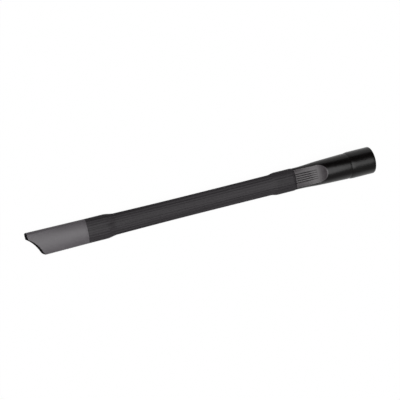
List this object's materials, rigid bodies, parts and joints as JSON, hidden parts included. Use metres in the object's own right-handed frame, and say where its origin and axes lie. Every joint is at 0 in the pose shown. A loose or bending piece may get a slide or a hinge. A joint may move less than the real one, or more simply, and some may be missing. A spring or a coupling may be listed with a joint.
{
  "type": "vacuum crevice tool",
  "caption": "Long flexible crevice tool with a raked flat nozzle tip, a soft reeded tube and a connector with ribbed grip panels and a round wand socket.",
  "frame": {"origin": "centre of the ledge inside the wand socket, on the tool's axis, where the wand's end comes to rest", "axes": "+X along the tool and out of the wand socket, +Y across the flat width towards the hook of the mouth, +Z square to the broad face that lies uppermost"},
  "size_m": [0.5634, 0.0414, 0.0414],
  "materials": {
    "connector_plastic": "satin black moulding with matte grip panels",
    "tube_elastomer": "soft matte black elastomer",
    "tip_plastic": "fine textured dark grey-black moulding"
  },
  "bodies": {
    "root": {"connector": "connector_plastic", "flexible_tube": "tube_elastomer", "nozzle_tip": "tip_plastic"}
  },
  "joints": []
}
